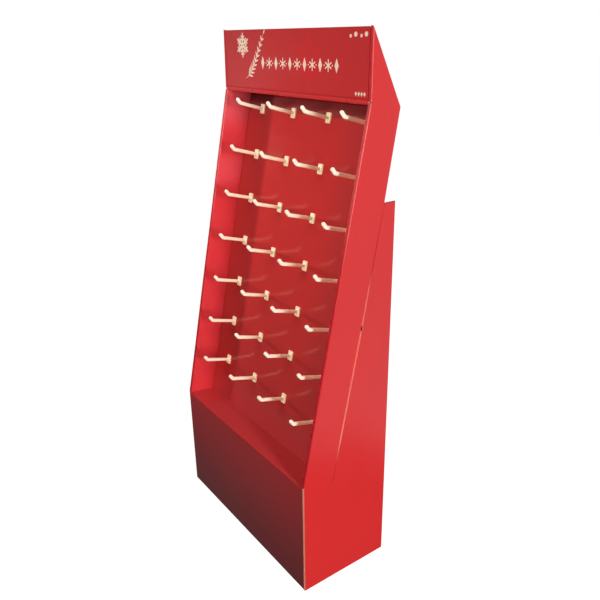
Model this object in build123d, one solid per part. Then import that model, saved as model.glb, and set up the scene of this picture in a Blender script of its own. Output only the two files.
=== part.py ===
from build123d import *
import math
import os

# Floor-standing corrugated display stand: a box base, and above it a shallow
# open tray that leans back, closed at the top by a header with a sloping
# roof. A panel at the back of the tray carries 28 moulded peg hooks.
#
# Millimetres. +Z is up, the front faces -Y, +X is to the right as seen from
# the front. The origin is on the floor, in the middle of the footprint.

# ------------------------------------------------------------ dimensions ---
WIDTH = 560.0             # outside, across both side panels
T = 3.0                   # corrugated board, B flute with a printed liner
BASE_H = 301.0            # front of the base, floor to ledge
BASE_D = 252.0            # base, front to back
TOP_Y = 255.0             # furthest back point, rear corner of the roof

# side profile, (distance behind the base front, height above the floor)
KNEE = (0.0, BASE_H)      # top of the base front, where the tray starts
LIP = (175.0, 1132.0)     # front edge of the tray meets the header
PEAK = (177.0, 1271.0)    # top front edge of the header
REAR = (TOP_Y, 1119.0)    # rear corner of the roof
WING_IN = (219.4, 928.0)  # top of the rear wing where it meets the tray
WING_TOP = (BASE_D, 928.0)
SLIT_END = (82.4, 279.3)  # lower end of the slit between tray and wing
SLIT_W = 1.0              # width of the slit
SLIT_R = 1.2              # radius of its relieved lower end

R_OUT = 4.6               # half the width of a doubled edge, and its depth
RIM_R = 2.6               # outside radius of its two bends

TRAY_DEPTH = 73.0         # tray front edge to the face of the peg panel
LEDGE_DROP = 10.5         # the ledge falls this much towards the peg panel
PANEL_TOP = 846.0         # peg panel, length up the slope from the knee line
FRONT_SET = 0.3           # base front lies this much inside the side edges
CLEAR = 0.5               # clearance of a sheet between the side walls
FOLD_OUT = 5.2            # outside radius of the soft fold at the ledge's front
FOLD_IN = 2.2

COLS = 4
ROWS = 7
COL_PITCH = 136.25
ROW_PITCH = 115.0
ROW_FIRST = 122.6         # lowest row, up the slope from the knee line

ROD_D = 9.2               # peg hook rod at its elbow and turned-up end
ROD_ROOT = 8.2            # and at its root: the straight part tapers
ROD_LEN = 70.5            # face of the panel to the elbow
TIP_OUT = 8.6             # the turned-up end goes this much further out
TIP_UP = 6.6              # and this much up
ROD_RISE = 4.2            # degrees the whole rod rises towards its tip
PLATE_W = 16.0            # face plate of a hook
PLATE_H = 24.0
PLATE_T = 3.0
SLOT_W = 8.0              # slot in the peg panel
SLOT_H = 18.0
NECK_D = 7.4              # neck in the slot
LOCK_W = 17.4             # turned locking bar behind the panel
LOCK_H = 7.4
LOCK_T = 2.0

HW = WIDTH / 2.0
WALL_IN = HW - T                       # inner face of an outer wall
LINER_OUT = HW - 2 * R_OUT + T         # outer face of a folded-in wall
LINER_IN = HW - 2 * R_OUT              # inner face of a folded-in wall
Y0 = TOP_Y / 2.0                       # base front to origin

# --------------------------------------------------------------- helpers ---
ex, ez = LIP[0] - KNEE[0], LIP[1] - KNEE[1]
EDGE_LEN = math.hypot(ex, ez)
D = (ex / EDGE_LEN, ez / EDGE_LEN)     # up the slope of the tray
N = (D[1], -D[0])                      # into the tray, square to the slope
TILT = math.degrees(math.atan2(ex, ez))


def on_slope(depth, up):
    """Point in the side profile: depth behind the tray's front edge, up it."""
    return (KNEE[0] + N[0] * depth + D[0] * up, KNEE[1] + N[1] * depth + D[1] * up)


def shift(p, q, depth, up):
    """Point near the line p-q: depth to its right-hand (rear) side, up it."""
    dx, dz = q[0] - p[0], q[1] - p[1]
    n = math.hypot(dx, dz)
    dx, dz = dx / n, dz / n
    return (p[0] + dz * depth + dx * up, p[1] - dx * depth + dz * up)


def cross(p, q, r, s):
    """Where the line p-q meets the line r-s."""
    a, b = q[0] - p[0], q[1] - p[1]
    c, d = s[0] - r[0], s[1] - r[1]
    k = ((r[0] - p[0]) * d - (r[1] - p[1]) * c) / (a * d - b * c)
    return (p[0] + a * k, p[1] + b * k)


def plate(points, x0, x1):
    """A flat sheet: a side-profile outline extruded from x0 to x1."""
    sk = Plane.YZ.offset(x0) * make_face(Polyline(*points, close=True))
    return extrude(sk, amount=x1 - x0, dir=(1, 0, 0))


def outline(points, radii):
    """Closed outline of a side profile with its corners rounded."""
    f = make_face(Polyline(*points, close=True))
    for (px, py), r in radii:
        v = min(f.vertices(), key=lambda w: math.hypot(w.X - px, w.Y - py))
        f = fillet([v], r)
    return f


def across(face, x0, x1):
    return extrude(Plane.YZ.offset(x0) * face, amount=x1 - x0, dir=(1, 0, 0))


# ----------------------------------------------------------- side panels ---
def rolled_edge(p, q, start, stop):
    """Flat rim of board where the front edge turns back on itself."""
    dx, dz = q[0] - p[0], q[1] - p[1]
    n = math.hypot(dx, dz)
    pl = Plane(origin=(0, p[0] + dx / n * start, p[1] + dz / n * start),
               x_dir=(1, 0, 0), z_dir=(0, dx / n, dz / n))
    rim = Pos(HW - R_OUT, R_OUT / 2) * Rectangle(2 * R_OUT, R_OUT)
    rim = fillet([v for v in rim.vertices() if v.Y < 0.1], RIM_R)
    rim -= Pos(HW - R_OUT, T + R_OUT / 2) * Rectangle(2 * (R_OUT - T), R_OUT)
    return extrude(pl * rim, amount=stop - start)


def side_panel():
    """Right-hand side panel: one folded sheet."""
    # flat outer wall; behind a rolled edge it starts where the roll ends
    a = shift(KNEE, LIP, R_OUT, 0)
    b = shift(KNEE, LIP, R_OUT, EDGE_LEN)
    c = shift(LIP, PEAK, R_OUT, 0)
    d = shift(LIP, PEAK, R_OUT, 10)
    bend = cross(a, b, c, d)
    low = cross(a, b, (0, BASE_H), (10, BASE_H))
    top = cross(c, d, PEAK, REAR)
    wall = plate([(0, 0), (0, BASE_H), low, bend, top, REAR, WING_IN,
                  WING_TOP, (BASE_D, 0)], WALL_IN, HW)

    # slit between the tray side and the rear wing, with a relieved end
    s0 = shift(SLIT_END, WING_IN, 0, 0)
    s1 = shift(SLIT_END, WING_IN, SLIT_W, 0)
    s2 = shift(SLIT_END, WING_IN, SLIT_W, 680)
    s3 = shift(SLIT_END, WING_IN, 0, 680)
    wall -= plate([s0, s1, s2, s3], WALL_IN - 1, HW + 1)
    end = shift(SLIT_END, WING_IN, SLIT_W / 2, 0)
    wall -= Pos(HW - T / 2, end[0], end[1]) * Rot(0, 90, 0) * Cylinder(SLIT_R, T + 2)
    # small thumb notch in the wing's edge, part of the way up the slit
    nt = shift(SLIT_END, WING_IN, SLIT_W + 1.2, 385.0)
    notch = Pos(HW - T / 2, nt[0], nt[1]) * Rot(-TILT, 0, 0) * (
        extrude(Plane.YZ.offset(-T) * SlotOverall(11.0, 4.4, rotation=90), amount=2 * T,
                dir=(1, 0, 0)))
    wall -= notch

    # glue flap along the rear edge, folded square, its ends tapered
    flap = extrude(Plane.XZ.offset(-BASE_D) * make_face(Polyline(
        (HW - 0.01, 2), (HW - 0.01, WING_TOP[1] - 0.5), (HW - T, WING_TOP[1] - 0.5),
        (HW - 52, WING_TOP[1] - 60), (HW - 52, 60), (HW - T, 2), close=True)),
        amount=T, dir=(0, -1, 0))
    body = wall + flap
    corner = [e for e in body.edges().filter_by(Axis.Z)
              if abs(e.center().X - HW) < 0.05 and abs(e.center().Y - BASE_D) < 0.05
              and e.length > 500]
    if corner:
        body = fillet(corner, 2.6)

    # tray front edge turned back 180 degrees, and the wall folded in from it
    body += rolled_edge(KNEE, LIP, 1.2, EDGE_LEN - 0.9)
    upper = rolled_edge(LIP, PEAK, 0.9, math.hypot(PEAK[0] - LIP[0], PEAK[1] - LIP[1]) + 1)
    upper -= plate([PEAK, REAR, (REAR[0] + 40, REAR[1] + 200), (PEAK[0] - 40, PEAK[1] + 78)],
                   LINER_IN - 5, HW + 5)
    body += upper
    ledge_a, ledge_b = (0.0, BASE_H + 0.5), (ledge_end[0], ledge_end[1] + 0.5)
    f0 = shift(KNEE, LIP, R_OUT, 0)
    f1 = shift(KNEE, LIP, R_OUT, EDGE_LEN - 0.9)
    r0 = on_slope(TRAY_DEPTH - 0.3, 0)
    r1 = on_slope(TRAY_DEPTH - 0.3, EDGE_LEN - 0.9)
    body += plate([cross(f0, f1, ledge_a, ledge_b), f1, r1,
                   cross(r0, r1, ledge_a, ledge_b)], LINER_IN, LINER_OUT)
    # the same behind the header: a short flap under the roof
    g0 = shift(LIP, PEAK, R_OUT, 2.5)
    g1 = shift(LIP, PEAK, 20.0, 2.5)
    g2 = (g1[0] + 1.2, roof_under(g1[0] + 1.2) - 0.6)
    g3 = (g0[0] + 1.7, roof_under(g0[0] + 1.7) - 0.6)
    body += plate([g0, g1, g2, g3], LINER_IN, LINER_OUT)
    return body


def roof_under(y):
    """Height of the roof's under side at a distance y behind the base front."""
    p = shift(PEAK, REAR, FRONT_SET + T, 0)
    q = shift(PEAK, REAR, FRONT_SET + T, 100)
    return p[1] + (y - p[0]) / (q[0] - p[0]) * (q[1] - p[1])


# point where the ledge meets the face of the peg panel
_a, _b = on_slope(TRAY_DEPTH, 0), on_slope(TRAY_DEPTH, 100)
ledge_end = cross(_a, _b, (0, BASE_H - LEDGE_DROP), (10, BASE_H - LEDGE_DROP))


# ------------------------------------- base front, ledge and peg panel ------
def front_sheet():
    """One sheet: bottom flap, base front, ledge and peg panel in a strip."""
    y = FRONT_SET
    # visible side of the strip, from the flap's free edge to the panel's top
    vis = [(122.0, 0.0), (y, 0.0), (y, BASE_H), ledge_end,
           on_slope(TRAY_DEPTH, PANEL_TOP)]
    # hidden side, T further in
    k = cross((y + T, 0), (y + T, 10),
              shift((y, BASE_H), ledge_end, T, 0), shift((y, BASE_H), ledge_end, T, 50))
    m = cross(shift((y, BASE_H), ledge_end, T, 0), shift((y, BASE_H), ledge_end, T, 50),
              on_slope(TRAY_DEPTH + T, 0), on_slope(TRAY_DEPTH + T, 100))
    hid = [on_slope(TRAY_DEPTH + T, PANEL_TOP), m, k, (y + T, T), (122.0, T)]
    f = outline(vis + hid, [((y, 0.0), 2.8), ((y, BASE_H), FOLD_OUT), (m, 3.0),
                            ((y + T, T), 0.4), (k, FOLD_IN), (ledge_end, 0.6)])
    hw = WALL_IN - CLEAR
    body = across(f, -hw, hw)
    # glue flaps at the sides of the base front, folded back square
    for s in (-1, 1):
        x0, x1 = (hw - T, hw) if s > 0 else (-hw, -hw + T)
        body += plate([(y + 1.0, 24.0), (34.0, 46.0), (34.0, BASE_H - 70.0),
                       (y + 1.0, BASE_H - 40.0)], x0, x1)
    # slots for the hooks
    for r in range(ROWS):
        for c in range(COLS):
            body -= hook_place(r, c) * (extrude(
                Plane.XZ.offset(-T - 2) * SlotOverall(SLOT_H, SLOT_W, rotation=90),
                amount=T + 4, dir=(0, -1, 0)))
    return body


def hook_place(r, c):
    """Where a hook's axis meets the face of the peg panel; row 0 is the top."""
    x = (c - (COLS - 1) / 2.0) * COL_PITCH
    y, z = on_slope(TRAY_DEPTH, ROW_FIRST + (ROWS - 1 - r) * ROW_PITCH)
    return Pos(x, y, z) * Rot(-TILT, 0, 0)


# ---------------------------------------------------------------- header ---
def header_sheet():
    """One sheet: hem, header face, sloping roof and the drop at the back."""
    s = FRONT_SET
    face_hw = LINER_IN - 0.3
    roof_hw = WALL_IN - CLEAR

    def h(depth, z):
        p = shift(LIP, PEAK, depth, z - LIP[1])
        return p

    # hem: the lower edge turned back on itself, slightly bulged
    lip_z = LIP[1] - 5.0
    hem_out = Spline(h(s, LIP[1] + 3.0), h(s + 0.15, LIP[1]), h(s + 0.9, lip_z + 1.3),
                     h(s + T + 0.3, lip_z), h(s + 2 * T - 0.3, lip_z + 1.3),
                     h(s + 2 * T + 0.45, LIP[1]), h(s + 2 * T + 0.6, LIP[1] + 3.0))
    hem_in = Polyline(h(s + T + 0.6, LIP[1] + 3.0), h(s + T + 0.45, LIP[1] - 1.2),
                      h(s + T + 0.15, LIP[1] - 1.2), h(s + T, LIP[1] + 3.0))
    face_top = 1262.0
    outer = Line(h(s, face_top), h(s, LIP[1] + 3.0))
    back_up = Polyline(h(s + 2 * T + 0.6, LIP[1] + 3.0), h(s + 2 * T + 0.6, LIP[1] + 38.0),
                       h(s + T + 0.6, LIP[1] + 38.0), h(s + T + 0.6, LIP[1] + 3.0))
    inner = Polyline(h(s + T, LIP[1] + 3.0), h(s + T, face_top), h(s, face_top))
    face = make_face([outer, hem_out, back_up, hem_in, inner])
    body = across(face, -face_hw, face_hw)

    # face top, roof and rear drop as one bent strip
    f0, f1 = h(s, 1255.0), h(s, 1300.0)
    i0, i1 = h(s + T, 1255.0), h(s + T, 1300.0)
    ro0, ro1 = shift(PEAK, REAR, 0, 0), shift(PEAK, REAR, 0, 100)
    ri0, ri1 = shift(PEAK, REAR, T, 0), shift(PEAK, REAR, T, 100)
    do0, do1 = shift(REAR, WING_IN, s, 0), shift(REAR, WING_IN, s, 100)
    di0, di1 = shift(REAR, WING_IN, s + T, 0), shift(REAR, WING_IN, s + T, 100)
    end = 275.0
    co, ci = cross(f0, f1, ro0, ro1), cross(i0, i1, ri0, ri1)
    eo, ei = cross(ro0, ro1, do0, do1), cross(ri0, ri1, di0, di1)
    pts = [h(s, 1258.0), co, eo, shift(REAR, WING_IN, s, end),
           shift(REAR, WING_IN, s + T, end), ei, ci, h(s + T, 1258.0)]
    f = outline(pts, [(co, 0.25), (eo, 2.8), (ei, 0.3)])
    roof = across(f, -roof_hw, roof_hw)
    # the front corners are cut back to pass between the doubled side edges
    for sx in (-1, 1):
        cx = sx * (face_hw + 10.0)
        roof -= Pos(cx, PEAK[0] + R_OUT + 0.6 - 8.6, 1262.0) * Box(20.0, 17.2, 60.0)
    body += roof
    # glue tabs at the sides of the roof, folded down
    for sx in (-1, 1):
        x0, x1 = (roof_hw - T, roof_hw) if sx > 0 else (-roof_hw, -roof_hw + T)
        t0 = shift(PEAK, REAR, s + T / 2, 84.0)
        t1 = shift(PEAK, REAR, s + T / 2, 142.0)
        t2 = shift(PEAK, REAR, s + 22.0, 132.0)
        t3 = shift(PEAK, REAR, s + 22.0, 97.0)
        body += plate([t0, t1, t2, t3], x0, x1)
    return body


# ------------------------------------------------------------ back panel ---
def back_sheet():
    """Back of the base and of the rear wings, with its floor flap."""
    hw = WALL_IN - CLEAR
    y1 = BASE_D - T
    y0 = y1 - T
    pts = [(y1, 0.0), (y1, 900.0), (y0, 900.0), (y0, T), (130.0, T), (130.0, 0.0)]
    f = outline(pts, [((y1, 0.0), 2.8), ((y0, T), 0.4)])
    return across(f, -hw, hw)


# ----------------------------------------------------------------- hooks ---
def hook():
    """Moulded peg hook; the panel's face is the local plane y = 0."""
    r = ROD_D / 2.0
    start = ROD_LEN - 9.0
    elbow = (0, -ROD_LEN, 0)
    tip = (0, -ROD_LEN - TIP_OUT, TIP_UP)
    path = FilletPolyline((0, -start, 0), elbow, tip, radius=7.0)
    rod = sweep(Plane(origin=path @ 0, z_dir=path % 0) * Circle(r), path=path)
    rod += Pos(*tip) * Sphere(r)
    root = PLATE_T - 0.5
    rod += Pos(0, -(root + start) / 2.0, 0) * Rot(90, 0, 0) * Cone(ROD_ROOT / 2.0, r, start - root)
    rod = Pos(0, -root, 0) * Rot(-ROD_RISE, 0, 0) * Pos(0, root, 0) * rod
    face = extrude(Plane.XZ * RectangleRounded(PLATE_W, PLATE_H, 2.6), amount=PLATE_T,
                   dir=(0, -1, 0))
    front = [e for e in face.edges() if abs(e.center().Y + PLATE_T) < 0.01]
    face = fillet(front, 0.6)
    neck = extrude(Plane.XZ.offset(-T) * Circle(NECK_D / 2.0), amount=T + 0.5,
                   dir=(0, -1, 0))
    lock = extrude(Plane.XZ.offset(-T - LOCK_T) * RectangleRounded(LOCK_W, LOCK_H, 1.6),
                   amount=LOCK_T, dir=(0, -1, 0))
    return rod + face + neck + lock


# ----------------------------------------------------------------- write ---
def write(shape, name):
    export_step(Pos(0, -Y0, 0) * shape, "parts/" + name + ".step")


os.makedirs("parts", exist_ok=True)
right = side_panel()
write(right, "side_panel_right")
write(mirror(right, about=Plane.YZ), "side_panel_left")
write(front_sheet(), "front_ledge_and_peg_panel")
write(header_sheet(), "header_panel")
write(back_sheet(), "back_panel")
one = hook()
for r in range(ROWS):
    for c in range(COLS):
        write(hook_place(r, c) * one, "peg_hook_r%d_c%d" % (r + 1, c + 1))
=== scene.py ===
import math

import bmesh
import bpy
import numpy as np
from mathutils import Matrix, Vector
from mathutils.geometry import delaunay_2d_cdt


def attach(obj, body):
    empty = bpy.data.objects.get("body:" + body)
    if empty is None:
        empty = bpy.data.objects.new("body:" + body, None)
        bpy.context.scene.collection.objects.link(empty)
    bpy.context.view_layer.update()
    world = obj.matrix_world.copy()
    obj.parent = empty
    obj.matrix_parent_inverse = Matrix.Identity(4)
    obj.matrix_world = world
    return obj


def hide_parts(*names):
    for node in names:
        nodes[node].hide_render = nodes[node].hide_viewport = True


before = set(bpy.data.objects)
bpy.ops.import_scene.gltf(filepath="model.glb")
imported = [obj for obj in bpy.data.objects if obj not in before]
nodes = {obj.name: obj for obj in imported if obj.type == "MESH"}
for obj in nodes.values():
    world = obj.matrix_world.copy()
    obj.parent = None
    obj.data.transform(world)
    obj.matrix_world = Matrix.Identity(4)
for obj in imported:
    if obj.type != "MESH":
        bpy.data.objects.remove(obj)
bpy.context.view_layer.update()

scene = bpy.context.scene

# ----------------------------------------------------------------- sizes ---
# the CAD's own numbers, in millimetres; side profile as (behind base front, height)
HW = 280.0
T = 3.0
Y0 = 127.5
BASE_H = 301.0
KNEE, LIP = (0.0, 301.0), (175.0, 1132.0)
PEAK, REAR = (177.0, 1271.0), (255.0, 1119.0)
WING_IN, SLIT_END = (219.4, 928.0), (82.4, 279.3)
R_OUT = 4.6
TRAY_DEPTH = 73.0
EDGE = math.hypot(LIP[0] - KNEE[0], LIP[1] - KNEE[1])
DY, DZ = (LIP[0] - KNEE[0]) / EDGE, (LIP[1] - KNEE[1]) / EDGE    # up the tray
SLIT_LEN = math.hypot(WING_IN[0] - SLIT_END[0], WING_IN[1] - SLIT_END[1])
SY, SZ = (WING_IN[0] - SLIT_END[0]) / SLIT_LEN, (WING_IN[1] - SLIT_END[1]) / SLIT_LEN


# ------------------------------------------------------- shader utilities ---
class Net:
    """Small helper that builds node networks."""

    def __init__(self, name):
        self.mat = bpy.data.materials.new(name)
        self.mat.use_nodes = True
        self.t = self.mat.node_tree
        self.t.nodes.clear()
        self.out = self.t.nodes.new("ShaderNodeOutputMaterial")
        self.bsdf = self.t.nodes.new("ShaderNodeBsdfPrincipled")
        self.t.links.new(self.bsdf.outputs[0], self.out.inputs["Surface"])
        self.co = self.t.nodes.new("ShaderNodeTexCoord").outputs["Object"]
        sep = self.t.nodes.new("ShaderNodeSeparateXYZ")
        self.t.links.new(self.co, sep.inputs[0])
        self.x, self.y, self.z = sep.outputs

    def put(self, socket, value):
        if isinstance(value, bpy.types.NodeSocket):
            self.t.links.new(value, socket)
        else:
            socket.default_value = value

    def m(self, op, *args, clamp=False):
        n = self.t.nodes.new("ShaderNodeMath")
        n.operation = op
        n.use_clamp = clamp
        for i, a in enumerate(args):
            self.put(n.inputs[i], a)
        return n.outputs[0]

    def noise(self, scale, detail=2.0, rough=0.5, vec=None, distortion=0.0):
        n = self.t.nodes.new("ShaderNodeTexNoise")
        n.inputs["Scale"].default_value = scale
        n.inputs["Detail"].default_value = detail
        n.inputs["Roughness"].default_value = rough
        n.inputs["Distortion"].default_value = distortion
        self.t.links.new(vec or self.co, n.inputs["Vector"])
        return n.outputs["Fac"]

    def stretch(self, sx, sy, sz):
        n = self.t.nodes.new("ShaderNodeMapping")
        n.inputs["Scale"].default_value = (sx, sy, sz)
        self.t.links.new(self.co, n.inputs["Vector"])
        return n.outputs[0]

    def ramp(self, value, lo, hi, a=0.0, b=1.0, smooth=True):
        n = self.t.nodes.new("ShaderNodeMapRange")
        n.interpolation_type = "SMOOTHSTEP" if smooth else "LINEAR"
        self.put(n.inputs["Value"], value)
        n.inputs["From Min"].default_value = lo
        n.inputs["From Max"].default_value = hi
        n.inputs["To Min"].default_value = a
        n.inputs["To Max"].default_value = b
        return n.outputs[0]

    def mix(self, fac, a, b, kind="MIX"):
        n = self.t.nodes.new("ShaderNodeMix")
        n.data_type = "RGBA"
        n.blend_type = kind
        self.put(n.inputs[0], fac)
        for i, c in ((6, a), (7, b)):
            if isinstance(c, bpy.types.NodeSocket):
                self.t.links.new(c, n.inputs[i])
            else:
                n.inputs[i].default_value = (*c, 1.0)
        return n.outputs[2]

    def bump(self, height, distance, strength=1.0, normal=None):
        n = self.t.nodes.new("ShaderNodeBump")
        n.inputs["Strength"].default_value = strength
        n.inputs["Distance"].default_value = distance
        self.t.links.new(height, n.inputs["Height"])
        if normal:
            self.t.links.new(normal, n.inputs["Normal"])
        return n.outputs[0]

    def set(self, name, value):
        s = self.bsdf.inputs[name]
        if isinstance(value, tuple) and s.type == "RGBA":
            value = (*value, 1.0)
        self.put(s, value)


INK = (0.73, 0.029, 0.031)
INK_DEEP = (0.68, 0.024, 0.026)
FLUTE = 0.0064


def printed(name, along, ink=INK, deep=INK_DEEP, rough=(0.17, 0.26), spec=0.34, wave=0.00035, fold=0.0, fold_z=None, ledge_highlight=None, low=None, pale=None, header_shade=None, wall_shadow=None, line=None, sheen_patch=None):
    """Gloss-coated print on corrugated board. along: the axis that crosses the flutes."""
    n = Net(name)
    cloud = n.noise(2.2, 2.0)
    mott = n.noise(260.0, 3.0, 0.6)
    grain = n.noise(1500.0, 2.0, 0.6)
    base = n.mix(n.ramp(cloud, 0.3, 0.7), deep, ink)
    base = n.mix(n.ramp(mott, 0.35, 0.75, 0.0, 0.10), base, tuple(min(1.0, c * 1.25 + 0.004) for c in ink))
    # specks of missing ink and fine handling scuffs, sparse
    scuff = n.noise(46.0, 6.0, 0.72, n.stretch(1.0, 1.0, 0.35))
    scuffs = n.ramp(scuff, 0.69, 0.82)
    base = n.mix(n.m("MULTIPLY", scuffs, 0.12), base, (0.86, 0.12, 0.11))
    if fold:
        # the film crazes and pales where the board is folded; the same paling also serves as a painted highlight on
        # the fold
        craze = n.noise(420.0, 4.0, 0.7, n.stretch(1.0, 1.0, 0.22))
        craze_and_highlight = n.ramp(craze, 0.38, 0.72, fold * 0.45, fold)
        # painted highlight kept to the given height range and faded out on the header; below that range the fold is
        # painted a deeper red as painted shade
        if fold_z:
            craze_and_highlight = n.m("MULTIPLY", craze_and_highlight, n.ramp(n.z, fold_z[0], fold_z[1], fold_z[2], 1.0))
            craze_and_highlight = n.m("MULTIPLY", craze_and_highlight, n.ramp(n.z, 1.126, 1.140, 1.0, 0.12))
            base = n.mix(n.ramp(n.z, fold_z[0], fold_z[1], 0.75, 0.0), base, (0.60, 0.012, 0.018))
        base = n.mix(craze_and_highlight, base, (0.95, 0.26, 0.24))
    if low:
        # painted shade: darker towards the floor
        base = n.mix(n.ramp(n.z, low[0], low[1], low[2], 0.0), base, (0.30, 0.010, 0.016))
    if pale:
        # painted light: a paler, patchy stretch over a height range, standing in for light and sheen on that stretch
        lift_patches = n.ramp(n.noise(6.0, 3.0, 0.6), 0.25, 0.75, 0.75, 1.0)
        base = n.mix(n.m("MULTIPLY", lift_patches, n.ramp(n.z, pale[0], pale[1])), base, pale[2])
    if sheen_patch:
        # painted reflection: a paler patch around a height, with an uneven outline
        drift = n.m("ADD", n.z, n.m("MULTIPLY", n.noise(16.0, 3.0, 0.6), 0.04))
        far = n.m("ABSOLUTE", n.m("SUBTRACT", drift, sheen_patch[0]))
        base = n.mix(n.ramp(far, sheen_patch[1], sheen_patch[1] * 0.3, 0.0, 0.5), base, sheen_patch[2])
    if wall_shadow:
        # painted shade: darker bands where the tray's side walls shadow the panel above the ledge, sharp on the left
        # and soft on the right
        wall_shadow_band = n.m("MAXIMUM", n.ramp(n.x, -0.150, -0.172), n.ramp(n.x, wall_shadow[0], wall_shadow[1]))
        wall_shadow_band = n.m("MULTIPLY", wall_shadow_band, n.ramp(n.z, 0.34, 0.46))
        base = n.mix(wall_shadow_band, base, wall_shadow[2])
    if line:
        # painted shade: a dark line in the crease above a hem
        base = n.mix(n.ramp(n.m("ABSOLUTE", n.m("SUBTRACT", n.z, line[0])), line[1] * 0.4, line[1], 1.0, 0.0), base, line[2])
    if header_shade:
        # painted shade under the header: a dark, greyish strip, with its own darker colour in the left band
        base = n.mix(n.ramp(n.z, header_shade[0], header_shade[1]), base, n.mix(n.ramp(n.x, -0.150, -0.172), header_shade[2], header_shade[3]))
    if ledge_highlight:
        # painted highlight: brighter along the bend at the front of the ledge
        lift = n.ramp(n.y, ledge_highlight[0], ledge_highlight[1], 0.55, 0.0)
        base = n.mix(n.m("MULTIPLY", lift, n.ramp(n.z, ledge_highlight[2] - 0.008, ledge_highlight[2] - 0.003)), base, (0.90, 0.040, 0.042))
    n.set("Base Color", base)
    patches = n.noise(9.0, 3.0, 0.55)
    r = n.ramp(patches, 0.3, 0.75, rough[0], rough[1])
    r = n.m("ADD", r, n.m("MULTIPLY", scuffs, 0.18))
    n.set("Roughness", r)
    n.set("Specular IOR Level", spec)
    # washboard of the flutes under the liner, board waviness, paper tooth
    across = {"x": n.x, "y": n.y, "z": n.z}[along]
    wash = n.m("SINE", n.m("MULTIPLY", across, 2.0 * math.pi / FLUTE))
    nb = n.bump(wash, 0.0000045)
    wavy = n.noise(5.0, 2.0, 0.5)
    nb = n.bump(wavy, wave, 1.0, nb)
    nb = n.bump(grain, 0.0000035, 1.0, nb)
    n.set("Normal", nb)
    return n.mat


def raw_edge(name, along, lo, hi, kraft=(0.80, 0.53, 0.33), span=None, glow=0.0):
    """Cut edge of the board: two liners and the fluting between them.
    along: axis that crosses the flutes, or None where the cut runs with them;
    lo, hi: thickness range of the sheet on |x| in metres, or None."""
    n = Net(name)
    fine = n.noise(900.0, 4.0, 0.65)
    slow = n.noise(30.0, 3.0, 0.6)
    base = n.mix(n.ramp(fine, 0.3, 0.7), tuple(c * 0.86 for c in kraft), tuple(min(1, c * 1.12) for c in kraft))
    base = n.mix(n.ramp(slow, 0.35, 0.7, 0.0, 0.35), base, (0.68, 0.40, 0.23))
    height = fine
    if lo is not None:
        t = n.m("DIVIDE", n.m("SUBTRACT", n.m("ABSOLUTE", n.x), lo), hi - lo)      # 0 inside, 1 outside
        mid = n.m("SUBTRACT", t, 0.5)
        if along:
            a = {"y": n.y, "z": n.z}[along]
            line = n.m("MULTIPLY", n.m("SINE", n.m("MULTIPLY", a, 2 * math.pi / FLUTE)), 0.36)
        else:
            line = n.m("MULTIPLY", n.m("SUBTRACT", n.noise(14.0, 3.0, 0.7), 0.5), 1.1)
        d = n.m("ABSOLUTE", n.m("SUBTRACT", mid, line))
        flute = n.ramp(d, 0.06, 0.13, 1.0, 0.0)
        liner = n.ramp(n.m("ABSOLUTE", mid), 0.38, 0.42)
        solid = n.m("MAXIMUM", flute, liner)
        base = n.mix(n.m("SUBTRACT", 1.0, solid), base, tuple(c * 0.38 for c in kraft))
        # the print's own thin film along the outer corner
        film = n.ramp(t, 0.955, 0.985)
        base = n.mix(n.m("MULTIPLY", film, 0.75), base, (0.72, 0.05, 0.05))
        nb = n.bump(solid, 0.0004)
        n.set("Normal", n.bump(fine, 0.00002, 1.0, nb))
    else:
        n.set("Normal", n.bump(height, 0.00002))
    if span:
        # above and below this stretch the cut stays shut and shows the print
        shown = n.m("MULTIPLY", n.ramp(n.z, span[0], span[1]), n.ramp(n.z, span[2], span[3], 1.0, 0.0))
        base = n.mix(shown, (0.70, 0.045, 0.045), base)
    if glow:
        # painted light: the cut glows faintly in its own colour
        n.set("Emission Color", tuple(c * k for c, k in zip(kraft, (1.0, 0.8, 0.8))))
        n.set("Emission Strength", n.m("MULTIPLY", shown, glow) if span else glow)
    n.set("Base Color", base)
    n.set("Roughness", 0.86)
    n.set("Specular IOR Level", 0.2)
    return n.mat


def kraft_liner(name, along):
    """Unprinted inner liner of the board."""
    n = Net(name)
    fibre = n.noise(700.0, 4.0, 0.7, n.stretch(1.0, 1.0, 0.3))
    slow = n.noise(7.0, 3.0, 0.6)
    across = {"x": n.x, "y": n.y}[along]
    wash = n.m("SINE", n.m("MULTIPLY", across, 2.0 * math.pi / FLUTE))
    base = n.mix(n.ramp(fibre, 0.3, 0.7), (0.40, 0.255, 0.145), (0.52, 0.345, 0.205))
    base = n.mix(n.ramp(wash, 0.2, 1.0, 0.0, 0.16), base, (0.33, 0.20, 0.11))
    base = n.mix(n.ramp(slow, 0.4, 0.7, 0.0, 0.2), base, (0.36, 0.23, 0.13))
    n.set("Base Color", base)
    n.set("Roughness", 0.82)
    n.set("Specular IOR Level", 0.25)
    nb = n.bump(wash, 0.00003)
    n.set("Normal", n.bump(fibre, 0.00002, 1.0, nb))
    return n.mat


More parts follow.
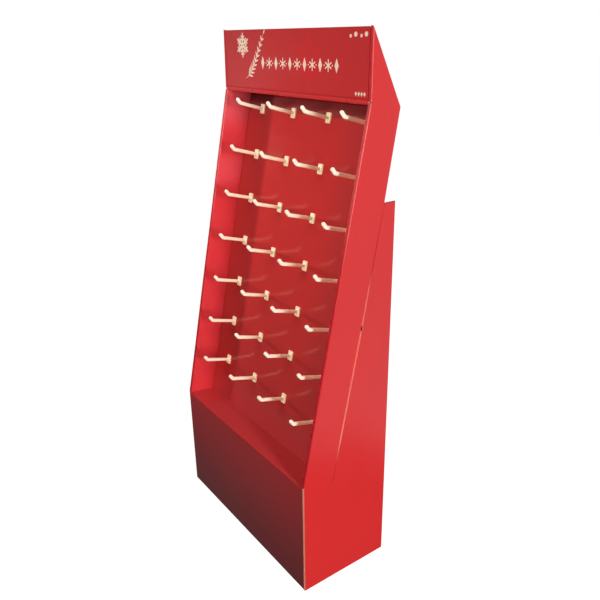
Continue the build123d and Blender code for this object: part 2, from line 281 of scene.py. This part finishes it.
def ivory_plastic(name):
    """Moulded hook plastic, satin, slightly translucent."""
    n = Net(name)
    slow = n.noise(60.0, 2.0)
    fine = n.noise(1600.0, 3.0, 0.6)
    base = n.mix(n.ramp(slow, 0.3, 0.7), (0.98, 0.88, 0.66), (0.99, 0.91, 0.73))
    base = n.mix(n.ramp(fine, 0.5, 0.8, 0.0, 0.10), base, (0.92, 0.76, 0.50))
    depth = n.m("SUBTRACT", n.m("MULTIPLY", n.m("ADD", n.y, 0.1275), 0.97854), n.m("MULTIPLY", n.m("SUBTRACT", n.z, 0.301), 0.20607))
    # painted highlight: the rod is paler towards its rounded tip
    base = n.mix(n.ramp(depth, 0.030, 0.004, 0.0, 0.8), base, (1.0, 0.98, 0.82))
    n.set("Base Color", base)
    n.set("Roughness", n.ramp(fine, 0.3, 0.7, 0.30, 0.40))
    n.set("Specular IOR Level", 0.5)
    n.set("Subsurface Weight", 0.25)
    n.set("Subsurface Radius", (1.0, 0.6, 0.3))
    n.set("Subsurface Scale", 0.0022)
    # painted light: a faint warm glow over the whole hook, stronger in the face plate on the panel, standing in for
    # fill and bounce light
    plate_glow = n.ramp(depth, 0.0686, 0.0698)
    n.set("Emission Color", n.mix(plate_glow, (1.0, 0.60, 0.32), (1.0, 0.72, 0.38)))
    n.set("Emission Strength", n.m("ADD", 0.20, n.m("MULTIPLY", plate_glow, 0.12)))
    flow = n.noise(240.0, 2.0, 0.5, n.stretch(1.0, 0.25, 1.0))
    n.set("Normal", n.bump(flow, 0.00003))
    return n.mat


def ink_cream(name):
    n = Net(name)
    fine = n.noise(500.0, 4.0, 0.7)
    base = n.mix(n.ramp(fine, 0.45, 0.75, 0.0, 0.5), (1.0, 0.78, 0.62), (0.95, 0.55, 0.42))
    n.set("Base Color", base)
    n.set("Roughness", n.ramp(fine, 0.3, 0.7, 0.22, 0.32))
    n.set("Specular IOR Level", 0.34)
    # painted light: the cream ink glows faintly
    n.set("Emission Color", (1.0, 0.66, 0.50))
    n.set("Emission Strength", 0.14)
    return n.mat


# painted light on side_print: a brighter red towards the floor
side_print = printed("print_side", "y", rough=(0.10, 0.17), wave=0.0005, pale=(0.66, 0.12, (0.80, 0.033, 0.034)))
# painted highlight on side_fold's upper stretch, painted shade below it
side_fold = printed("print_side_fold", "y", rough=(0.24, 0.34), fold=0.40, fold_z=(0.76, 1.00, 0.0))
# painted reflection on side_inner: paler at the top and in a patch; its greyish ink partly stands in for sheen too
side_inner = printed("print_side_inner", "y", ink=(0.75, 0.046, 0.056), deep=(0.71, 0.041, 0.051), pale=(1.01, 1.08, (0.82, 0.100, 0.122)), sheen_patch=(0.945, 0.055, (0.84, 0.105, 0.130)))
# painted light on panel_print: greyer low down as painted sheen, painted shade under the header and along the side
# walls; its greyish ink partly stands in for sheen
panel_print = printed("print_panel", "x", ink=(0.76, 0.042, 0.039), deep=(0.72, 0.037, 0.034), rough=(0.06, 0.10), spec=0.30, wave=0.00018, pale=(0.40, 0.30, (0.75, 0.072, 0.078)), header_shade=(1.072, 1.100, (0.60, 0.074, 0.078), (0.36, 0.070, 0.088)), wall_shadow=(0.09, 0.22, (0.57, 0.041, 0.038)))
# painted shade on base_print: a darker ink, and darker still towards the floor
base_print = printed("print_base", "x", ink=(0.64, 0.026, 0.030), deep=(0.60, 0.022, 0.026), wave=0.00025, low=(-0.04, 0.31, 0.95))
# painted sheen on panel_fold: its greyish ink stands in for a glossy lift
panel_fold = printed("print_panel_fold", "x", ink=(0.73, 0.047, 0.049), deep=(0.69, 0.042, 0.044), rough=(0.32, 0.42), spec=0.16, fold=0.02)
header_print = printed("print_header", "x", ink=(0.74, 0.040, 0.041), deep=(0.70, 0.035, 0.036), line=(1.1378, 0.0018, (0.54, 0.022, 0.024)))
# painted highlight on header_fold: a brighter ink on the hem
header_fold = printed("print_header_fold", "x", ink=(0.86, 0.036, 0.040), deep=(0.82, 0.032, 0.036), rough=(0.26, 0.36), fold=0.05)
back_print = printed("print_back", "x")
kraft_y = kraft_liner("liner_side", "y")
kraft_x = kraft_liner("liner_panel", "x")
# painted light: edge_vertical and edge_slit glow faintly, and their brighter colour partly stands in for light
# catching the cut
edge_vertical = raw_edge("edge_vertical", None, 0.277, 0.280, (1.0, 0.38, 0.26), None, 0.16)
edge_slit = raw_edge("edge_slit", None, None, None, (1.0, 0.30, 0.22), (0.32, 0.40, 0.72, 0.80), 0.14)
edge_pale = raw_edge("edge_pale", None, None, None, (1.0, 0.74, 0.60))
edge_across = raw_edge("edge_across", "y", 0.277, 0.280, (0.92, 0.42, 0.30))
edge_plain = raw_edge("edge_plain", None, None, None)
hook_mat = ivory_plastic("hook_ivory")
cream = ink_cream("ink_cream")
tone = printed("print_tone", "x", ink=(0.82, 0.034, 0.038), deep=(0.78, 0.030, 0.034))


# ----------------------------------------------------------- mesh helpers ---
def profile(p):
    """Side-profile coordinates (mm) of a point in the part's frame (m)."""
    return p[1] * 1000.0 + Y0, p[2] * 1000.0


def slope(y, z):
    """Depth behind the tray's front edge and length up it, in mm."""
    dy, dz = y - KNEE[0], z - KNEE[1]
    return dy * DZ - dz * DY, dy * DY + dz * DZ


def paint(obj, mats, choose):
    """Gives each face of a mesh one of the materials."""
    me = obj.data
    me.materials.clear()
    for m in mats:
        me.materials.append(m)
    for p in me.polygons:
        p.material_index = choose(p.center, p.normal)


# ----------------------------------------------------------- side panels ---
SLIT_W = 1.0
SIDE_MATS = [side_print, side_fold, side_inner, kraft_y, edge_vertical, edge_across, edge_plain, edge_slit, edge_pale]


def side_face(c, nrm):
    """Material index for a face of a side panel, from its place in the CAD."""
    ax = abs(c[0]) * 1000.0
    sgn = 1.0 if c[0] > 0 else -1.0
    nx = nrm[0] * sgn
    y, z = profile(c)
    depth, up = slope(y, z)
    upper = up > EDGE - 1.5
    if upper:
        dy, dz = PEAK[0] - LIP[0], PEAK[1] - LIP[1]
        k = math.hypot(dy, dz)
        depth = ((y - LIP[0]) * dz - (z - LIP[1]) * dy) / k
    front = depth < R_OUT + 0.05 and z > BASE_H - 6.0
    out_y = -nrm[1]
    if z > BASE_H - 1.0 and front and depth < R_OUT + 0.02:
        rx = ax - (HW - R_OUT)
        along = nrm[1] * DY + nrm[2] * DZ
        if abs(along) > 0.8:
            return 8                                  # end of the rim
        if depth < 2.65 or abs(rx) > R_OUT - 0.2:
            if nx > 0.5 and depth > 2.55:
                return 0
            if nx < -0.5 and depth > 2.55 and rx < 0:
                return 2
            return 1
        return 3
    if y > 248.9 and ax < 277.5 or y > 249.2 and nrm[1] > 0.3 or (ax > 277.3 and y > 249.3 and nx > 0.1):
        if nrm[1] > 0.3:
            return 0                                  # rear flap and its folded corner
        if nrm[1] < -0.8 and ax < 277.2:
            return 3
        if nx > 0.3 and ax > 277.5:
            return 0
        return 6
    if nx > 0.5 and ax > 279.0:
        return 0
    if nx < -0.5 and ax < 272.0:
        return 2
    if nx < -0.5 and 276.5 < ax < 277.5:
        return 3
    if nx > 0.5:
        return 3
    if ax > 276.9:
        if abs(nrm[2]) > 0.8:
            return 5
        if abs(slit_side(y, z)) < 1.6 and z > SLIT_END[1] - 4.0:
            return 7
        return 4
    return 6


def slit_side(y, z):
    """Distance (mm) behind the middle of the slit."""
    return (y - SLIT_END[0]) * SZ - (z - SLIT_END[1]) * SY - SLIT_W / 2


def wing_bow(c):
    """Outward bow (mm) of the side walls at a point, in CAD coordinates."""
    y, z = profile(c)
    if abs(c[0]) < 0.2768:
        return 0.0
    # along and behind the slit
    u = ((y - SLIT_END[0]) * SY + (z - SLIT_END[1]) * SZ) / SLIT_LEN
    d = (y - SLIT_END[0]) * SZ - (z - SLIT_END[1]) * SY
    slit_y = SLIT_END[0] + (z - SLIT_END[1]) * SY / SZ
    bow = 0.0
    if d > 0.8 and z > SLIT_END[1] - 1.0:
        w = max(0.0, min(1.0, (249.0 - y) / max(249.0 - slit_y, 1.0)))
        w = w * w * (3 - 2 * w) * 0.55 + w * 0.45
        s = max(0.0, min(1.0, u))
        bow = 2.6 * w * math.sin(math.pi * min(1.0, s * 1.04)) ** 1.15 - 0.7 * w * max(0.0, (s - 0.72) / 0.28) ** 2
    # faint board waviness, none at the folds and at the floor
    edge = min(1.0, max(0.0, (y - 4.0) / 40.0)) * min(1.0, max(0.0, (250.0 - y) / 40.0)) * min(1.0, max(0.0, z / 60.0))
    s = 1.0 if c[0] > 0 else 2.3
    wavy = 0.35 * math.sin(z / 131.0 + s) * math.sin(y / 58.0 + 0.6 * s) + 0.22 * math.sin(z / 67.0 + y / 49.0 + 1.7 * s)
    if d > -0.2 and d < 12.0 and z > SLIT_END[1]:
        wavy *= 0.6
    return bow + wavy * edge


def side_piece(node, name):
    src = nodes[node]
    bm = bmesh.new()
    bm.from_mesh(src.data)
    bmesh.ops.remove_doubles(bm, verts=bm.verts, dist=1e-6)
    bmesh.ops.dissolve_limit(bm, angle_limit=math.radians(0.05), verts=bm.verts, edges=bm.edges)
    tag = bm.faces.layers.int.new("mat")
    for f in bm.faces:
        f.normal_update()
    for f in bm.faces:
        f[tag] = side_face(f.calc_center_median(), f.normal)
    # a knife cut has no width: both sides of the slit close up
    for v in bm.verts:
        y, z = profile(v.co)
        d = slit_side(y, z)
        if abs(v.co.x) > 0.2768 and abs(abs(d) - SLIT_W / 2) < 0.03 and z > SLIT_END[1] + 2.0:
            move = (0.05 if d > 0 else -0.05) - d
            v.co.y += move * SZ / 1000.0
            v.co.z -= move * SY / 1000.0

    # die-cut edges are crushed: the printed corner draws back from the cut
    pull = {}
    for f in bm.faces:
        if f[tag] in (4, 5, 7):
            for v in f.verts:
                if abs(v.co.x) > 0.2799 and any(g[tag] == 0 for g in v.link_faces):
                    amount = 0.0005
                    y, z = profile(v.co)
                    if f.normal.y < -0.7 and y < 0.5:
                        amount = 0.0024                # front edge of the base
                    elif f[tag] == 7:
                        amount = 0.0013 if f.normal.y < 0 else 0.0001
                    pull.setdefault(v, []).append(-f.normal * amount)
    for v, ds in pull.items():
        v.co += sum(ds, Vector()) if len(ds) < 3 else sum(ds, Vector()) / len(ds)

    def cut(co, no):
        bmesh.ops.bisect_plane(bm, geom=bm.verts[:] + bm.edges[:] + bm.faces[:], plane_co=co, plane_no=no, dist=1e-7)

    for k in range(1, 51):
        cut((0, 0, 0.025 * k + 0.0013), (0, 0, 1))
    for k in range(1, 13):
        cut((0, -0.1275 + 0.02 * k + 0.0017, 0), (0, 1, 0))
    bmesh.ops.triangulate(bm, faces=bm.faces[:])
    for v in bm.verts:
        s = 1.0 if v.co.x > 0 else -1.0
        v.co.x += s * wing_bow(v.co) / 1000.0
    me = bpy.data.meshes.new(name)
    bm.to_mesh(me)
    bm.free()
    for a in ("custom_normal",):
        if a in me.attributes:
            me.attributes.remove(me.attributes[a])
    idx = np.zeros(len(me.polygons), np.int32)
    me.attributes["mat"].data.foreach_get("value", idx)
    for m in SIDE_MATS:
        me.materials.append(m)
    me.polygons.foreach_set("material_index", idx)
    me.attributes.remove(me.attributes["mat"])
    me.shade_smooth()
    me.set_sharp_from_angle(angle=math.radians(32))
    me.update()
    o = bpy.data.objects.new(name, me)
    scene.collection.objects.link(o)
    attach(o, "root")
    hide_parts(node)
    return o


right = side_piece("side_panel_right", "side_board_right")
left = side_piece("side_panel_left", "side_board_left")


# ----------------------------------------------- front strip, header, back ---
def front_face(c, nrm):
    y, z = profile(c)
    depth, up = slope(y, z)
    if abs(nrm[0]) > 0.7:
        return 3
    if up > 845.5 and nrm[2] > 0.9 and nrm[1] > 0:
        return 3
    if z < 0.4 or (y < 3.2 and nrm[1] < -0.2 and z < 8):
        return 4
    if y < 1.0 and nrm[1] < -0.9:
        return 4
    if nrm[1] < -0.25 or nrm[2] > 0.25:
        if z > 296.5 and y < 4.5:
            return 1
        return 0
    return 2


paint(nodes["front_ledge_and_peg_panel"], [panel_print, panel_fold, kraft_x, edge_plain, base_print], front_face)


def header_face(c, nrm):
    y, z = profile(c)
    if abs(nrm[0]) > 0.7:
        return 3 if z < 1137.0 or y > 190.0 else 0
    if y < 186 and z < 1136.0:
        return 1                                       # hem
    if y < 186 and z < 1175 and nrm[1] > 0.5 and y > 181.0:
        return 0
    if nrm[2] < -0.9 and z < 1000.0:
        return 3
    if nrm[1] < -0.3 and y < 181.5:
        return 0
    if nrm[2] > 0.25:
        return 0
    if abs(nrm[1]) > 0.3 and y > 190 and (nrm[1] > 0 or z < 1118.0):
        return 0 if nrm[2] > -0.5 else 2
    return 2


paint(nodes["header_panel"], [header_print, header_fold, kraft_x, edge_pale], header_face)


def back_face(c, nrm):
    y, z = profile(c)
    if abs(nrm[0]) > 0.7 or nrm[2] > 0.9 and z > 890:
        return 2
    if nrm[1] > 0.3 or nrm[2] < -0.3 and z < 2.0:
        return 0
    return 1


paint(nodes["back_panel"], [back_print, kraft_x, edge_plain], back_face)

for r in range(1, 8):
    for c in range(1, 5):
        o = nodes["peg_hook_r%d_c%d" % (r, c)]
        o.data.materials.clear()
        o.data.materials.append(hook_mat)

# -------------------------------------------------------- header ornaments ---
def on_header(x, z, lift=0.06):
    """Point just in front of the header's face, from mm across and up."""
    k = (PEAK[0] - LIP[0]) / (PEAK[1] - LIP[1])
    y = LIP[0] + (z - LIP[1]) * k + 0.3 - lift
    return Vector((x, y - Y0, z)) / 1000.0


def ink_piece(name, shapes, mat, lift):
    """Printed shapes as a thin film of ink; each is a closed outline in (x, z) mm."""
    flat, loops = [], []
    for outline in shapes:
        area2 = sum(a[0] * b[1] - b[0] * a[1] for a, b in zip(outline, outline[1:] + outline[:1]))
        ring = outline if area2 > 0 else outline[::-1]
        loops.append(list(range(len(flat), len(flat) + len(ring))))
        flat += [Vector(p) for p in ring]
    pts, _, tris, _, _, came = delaunay_2d_cdt(flat, [], loops, 1, 1e-4)
    verts = [on_header(p[0], p[1], lift) for p in pts]
    faces = []
    for tri, src in zip(tris, came):
        if not src:
            continue
        a, b, c = (pts[k] for k in tri)
        faces.append(tri if (b - a).cross(c - a) > 0 else tri[::-1])
    me = bpy.data.meshes.new(name)
    me.from_pydata(verts, [], faces)
    me.materials.append(mat)
    me.update()
    o = bpy.data.objects.new(name, me)
    scene.collection.objects.link(o)
    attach(o, "root")
    return o


def bar(p, q, w0, w1):
    """Tapered stroke from p to q with softened ends."""
    dx, dz = q[0] - p[0], q[1] - p[1]
    n = math.hypot(dx, dz)
    ux, uz = dx / n, dz / n
    out = []
    for k in range(7):
        a = math.pi / 2 + math.pi * k / 6
        out.append((p[0] + w0 / 2 * (ux * math.cos(a) - uz * math.sin(a)), p[1] + w0 / 2 * (uz * math.cos(a) + ux * math.sin(a))))
    for k in range(7):
        a = -math.pi / 2 + math.pi * k / 6
        out.append((q[0] + w1 / 2 * (ux * math.cos(a) - uz * math.sin(a)), q[1] + w1 / 2 * (uz * math.cos(a) + ux * math.sin(a))))
    return out


def crystal(cx, cz, r, w):
    """Plain six-armed snow crystal: bars with two pairs of twigs and a lozenge tip."""
    shapes = []
    for k in range(6):
        a = math.pi / 2 + k * math.pi / 3
        ca, sa = math.cos(a), math.sin(a)

        def at(u, v):
            return (cx + u * ca - v * sa, cz + u * sa + v * ca)

        shapes.append(bar(at(0.14 * r, 0), at(0.86 * r, 0), w, w * 0.8))
        for u, length in ((0.34, 0.26), (0.56, 0.22)):
            for side in (-1, 1):
                shapes.append(bar(at(u * r, 0), at((u + length * 0.62) * r, side * length * r), w * 0.85, w * 0.55))
        shapes.append([at(0.80 * r, 0), at(0.90 * r, 0.065 * r), at(1.0 * r, 0), at(0.90 * r, -0.065 * r)])
        shapes.append([at(0.05 * r, 0), at(0.15 * r, 0.085 * r), at(0.25 * r, 0), at(0.15 * r, -0.085 * r)])
    return shapes


def lozenge(cx, cz, w, h):
    return [(cx - w / 2, cz), (cx, cz - h / 2), (cx + w / 2, cz), (cx, cz + h / 2)]


def dot(cx, cz, r, n=18):
    return [(cx + r * math.cos(2 * math.pi * k / n), cz + r * math.sin(2 * math.pi * k / n)) for k in range(n)]


def ribbon(p0, p1, p2, p3, w, n=40):
    """Tapered stroke along one Bezier curve."""
    one, two = [], []
    for k in range(n + 1):
        t = k / n
        b = [(1 - t) ** 3, 3 * t * (1 - t) ** 2, 3 * t * t * (1 - t), t ** 3]
        x = sum(c * p[0] for c, p in zip(b, (p0, p1, p2, p3)))
        z = sum(c * p[1] for c, p in zip(b, (p0, p1, p2, p3)))
        d = [-3 * (1 - t) ** 2, 3 * (1 - t) ** 2 - 6 * t * (1 - t), 6 * t * (1 - t) - 3 * t * t, 3 * t * t]
        tx = sum(c * p[0] for c, p in zip(d, (p0, p1, p2, p3)))
        tz = sum(c * p[1] for c, p in zip(d, (p0, p1, p2, p3)))
        m_ = math.hypot(tx, tz)
        half = (0.25 + w * math.sin(math.pi * t) ** 0.8) / 2
        one.append((x - tz / m_ * half, z + tx / m_ * half))
        two.append((x + tz / m_ * half, z - tx / m_ * half))
    return one + two[::-1]


def star(cx, cz, r, w):
    """Small six-armed star."""
    return [bar((cx - r * math.cos(a), cz - r * math.sin(a)), (cx + r * math.cos(a), cz + r * math.sin(a)), w, w)
            for a in (math.pi / 2, math.pi / 6, -math.pi / 6)]


def leaf(x, z, angle, length, w, n=9):
    """Slim pointed leaf growing from (x, z)."""
    ca, sa = math.cos(angle), math.sin(angle)
    one = [(length * k / n, w / 2 * math.sin(math.pi * (k / n) ** 0.8)) for k in range(n + 1)]
    two = [(u, -v) for u, v in one[1:-1]][::-1]
    return [(x + u * ca - v * sa, z + u * sa + v * ca) for u, v in one + two]


ink_piece("ink_crystal_small", crystal(-190.0, 1235.0, 29.5, 5.6), cream, 0.10)
ink_piece("ink_crystal_large", crystal(76.0, 1207.0, 57.0, 7.5), tone, 0.04)
band = []
for k in range(11):
    x = -102.0 + k * 27.4
    if k % 2:
        band += star(x, 1197.0, 11.0, 2.8)
    else:
        band.append(lozenge(x, 1197.0, 13.0, 29.0))
    if k < 10:
        band.append(dot(x + 13.7, 1197.0, 1.7, 12))
ink_piece("ink_band", band, cream, 0.10)
stem = [(-180.0, 1160.0), (-150.0, 1166.0), (-128.0, 1212.0), (-97.0, 1262.0)]
sprig = [ribbon(*stem, 2.4)]
for k in range(1, 10):
    t = 0.10 + 0.088 * k
    b = [(1 - t) ** 3, 3 * t * (1 - t) ** 2, 3 * t * t * (1 - t), t ** 3]
    d = [-3 * (1 - t) ** 2, 3 * (1 - t) ** 2 - 6 * t * (1 - t), 6 * t * (1 - t) - 3 * t * t, 3 * t * t]
    px, pz = (sum(c * q[i] for c, q in zip(b, stem)) for i in (0, 1))
    tx, tz = (sum(c * q[i] for c, q in zip(d, stem)) for i in (0, 1))
    along = math.atan2(tz, tx)
    for side in (-1, 1):
        sprig.append(leaf(px, pz, along + side * 0.72, 21.0 - 1.1 * k, 4.2))
sprig.append(leaf(-98.0, 1260.0, 1.0, 13.0, 4.0))
ink_piece("ink_sprig", sprig, cream, 0.10)
ink_piece("ink_dots", [dot(214.0, 1253.0, 3.4), dot(229.0, 1256.0, 4.8), dot(246.0, 1253.0, 3.4), dot(260.0, 1256.0, 4.8)], cream, 0.10)
ink_piece("ink_corner", [lozenge(234.0 + 8.6 * k, 1146.5, 7.0, 9.0) for k in range(4)], cream, 0.10)

# ----------------------------------------------------------------- camera ---
FOCAL = 658.42777
ROT = (1.79256, 0.90307, -0.62821)
TRA = (-0.04979, 0.59719, 1.88214)


def rotation(v):
    a = Vector(v)
    return Matrix.Rotation(a.length, 3, a.normalized())


Rm = rotation(ROT)
eye = -(Rm.transposed() @ Vector(TRA))
cam_data = bpy.data.cameras.new("camera")
cam = bpy.data.objects.new("camera", cam_data)
scene.collection.objects.link(cam)
m = Matrix.Identity(4)
for i in range(3):
    m[i][0], m[i][1], m[i][2], m[i][3] = Rm[0][i], -Rm[1][i], -Rm[2][i], eye[i]
cam.matrix_world = m
cam_data.sensor_width = 36.0
cam_data.sensor_fit = "HORIZONTAL"
cam_data.lens = FOCAL * 36.0 / 600.0
cam_data.clip_start, cam_data.clip_end = 0.05, 60.0
scene.camera = cam

# ------------------------------------------------------------------ stage ---
def floor_material(name):
    """Pale studio floor: a lit sweep that still takes soft shadows."""
    n = Net(name)
    fine = n.noise(60.0, 3.0, 0.6)
    n.set("Base Color", n.mix(n.ramp(fine, 0.3, 0.7, 0.0, 1.0), (0.38, 0.38, 0.38), (0.40, 0.40, 0.40)))
    n.set("Roughness", 0.9)
    n.set("Specular IOR Level", 0.0)
    n.set("Emission Color", (1.0, 1.0, 1.0))
    n.set("Emission Strength", 0.985)
    return n.mat


fm = bpy.data.meshes.new("floor")
s = 40.0
fm.from_pydata([(-s, -s, -0.0002), (s, -s, -0.0002), (s, s, -0.0002), (-s, s, -0.0002)], [], [(0, 1, 2, 3)])
fm.materials.append(floor_material("floor_pale"))
floor = bpy.data.objects.new("floor", fm)
scene.collection.objects.link(floor)
floor.visible_diffuse = False
floor.visible_glossy = False


def area(name, loc, aim, w, h, power, color=(1, 1, 1), spread=180.0, glossy=True):
    d = bpy.data.lights.new(name, "AREA")
    d.shape = "RECTANGLE"
    d.size, d.size_y = w, h
    d.energy = power
    d.color = color
    d.spread = math.radians(spread)
    o = bpy.data.objects.new(name, d)
    scene.collection.objects.link(o)
    o.location = loc
    o.rotation_mode = "QUATERNION"
    o.rotation_quaternion = (Vector(aim) - Vector(loc)).to_track_quat("-Z", "Y")
    o.visible_camera = False
    o.visible_glossy = glossy
    return o


area("light_right", (5.0, -0.62, 0.72), (0.0, 0.0, 0.55), 0.4, 3.6, 305.0, (1.0, 0.98, 0.97))
area("light_front", (0.05, -1.45, 1.95), (0.0, 0.05, 0.88), 1.00, 0.60, 2.00, (1.0, 0.98, 0.96), 56.0)
area("light_left", (-2.20, -1.27, 1.12), (0.0, 0.05, 0.80), 0.22, 0.30, 1.50, (1.0, 0.98, 0.96), 48.0, False)

# surroundings: white behind the camera's view, a soft bright studio in the
# gloss above the floor and a darker one below it, and a low even fill
world = bpy.data.worlds.new("studio")
scene.world = world
world.use_nodes = True
wt = world.node_tree
wt.nodes.clear()


def wn(kind, **props):
    n = wt.nodes.new(kind)
    for k, v in props.items():
        setattr(n, k, v)
    return n


def wm(op, a, b=None, clamp=False):
    n = wn("ShaderNodeMath", operation=op, use_clamp=clamp)
    for i, v in enumerate((a, b)):
        if v is None:
            continue
        if isinstance(v, bpy.types.NodeSocket):
            wt.links.new(v, n.inputs[i])
        else:
            n.inputs[i].default_value = v
    return n.outputs[0]


def wramp(v, lo, hi, a=0.0, b=1.0):
    n = wn("ShaderNodeMapRange", interpolation_type="SMOOTHSTEP")
    wt.links.new(v, n.inputs["Value"])
    for k, x in (("From Min", lo), ("From Max", hi), ("To Min", a), ("To Max", b)):
        n.inputs[k].default_value = x
    return n.outputs[0]


way = wn("ShaderNodeTexCoord").outputs["Generated"]
wsep = wn("ShaderNodeSeparateXYZ")
wt.links.new(way, wsep.inputs[0])
dx, dy, dz = wsep.outputs
to_right = wramp(wm("ADD", wm("MULTIPLY", dx, 0.74), wm("MULTIPLY", dy, 0.67)), 0.25, 0.75)
above = wramp(dz, -0.582, -0.550)
# in the gloss: what lies low in front, low to the right, ahead and to the right,
# and a brighter stretch far to the left
LOW_FRONT, LOW_RIGHT, HIGH_FRONT, HIGH_RIGHT, FAR_LEFT = 0.18, 0.05, 0.14, 0.80, 0.36
low = wm("ADD", LOW_FRONT, wm("MULTIPLY", to_right, LOW_RIGHT - LOW_FRONT))
high = wm("ADD", HIGH_FRONT, wm("MULTIPLY", to_right, HIGH_RIGHT - HIGH_FRONT))
gloss = wm("ADD", low, wm("MULTIPLY", above, wm("SUBTRACT", high, low)))
gloss = wm("ADD", gloss, wm("MULTIPLY", wramp(dx, -0.840, -0.872, 0.0, FAR_LEFT), wramp(dz, -0.35, -0.20)))
path = wn("ShaderNodeLightPath")
FILL = 0.06
level = wm("ADD", FILL, wm("MULTIPLY", path.outputs["Is Glossy Ray"], wm("SUBTRACT", gloss, FILL)))
level = wm("ADD", wm("MULTIPLY", level, wm("SUBTRACT", 1.0, path.outputs["Is Camera Ray"])), wm("MULTIPLY", path.outputs["Is Camera Ray"], 1.0))
bg = wn("ShaderNodeBackground")
bg.inputs["Color"].default_value = (1.0, 1.0, 1.0, 1.0)
wt.links.new(level, bg.inputs["Strength"])
wout = wn("ShaderNodeOutputWorld")
wt.links.new(bg.outputs[0], wout.inputs["Surface"])

scene.view_settings.view_transform = "Standard"
scene.view_settings.look = "None"
scene.view_settings.exposure = 0.0
scene.view_settings.gamma = 1.0
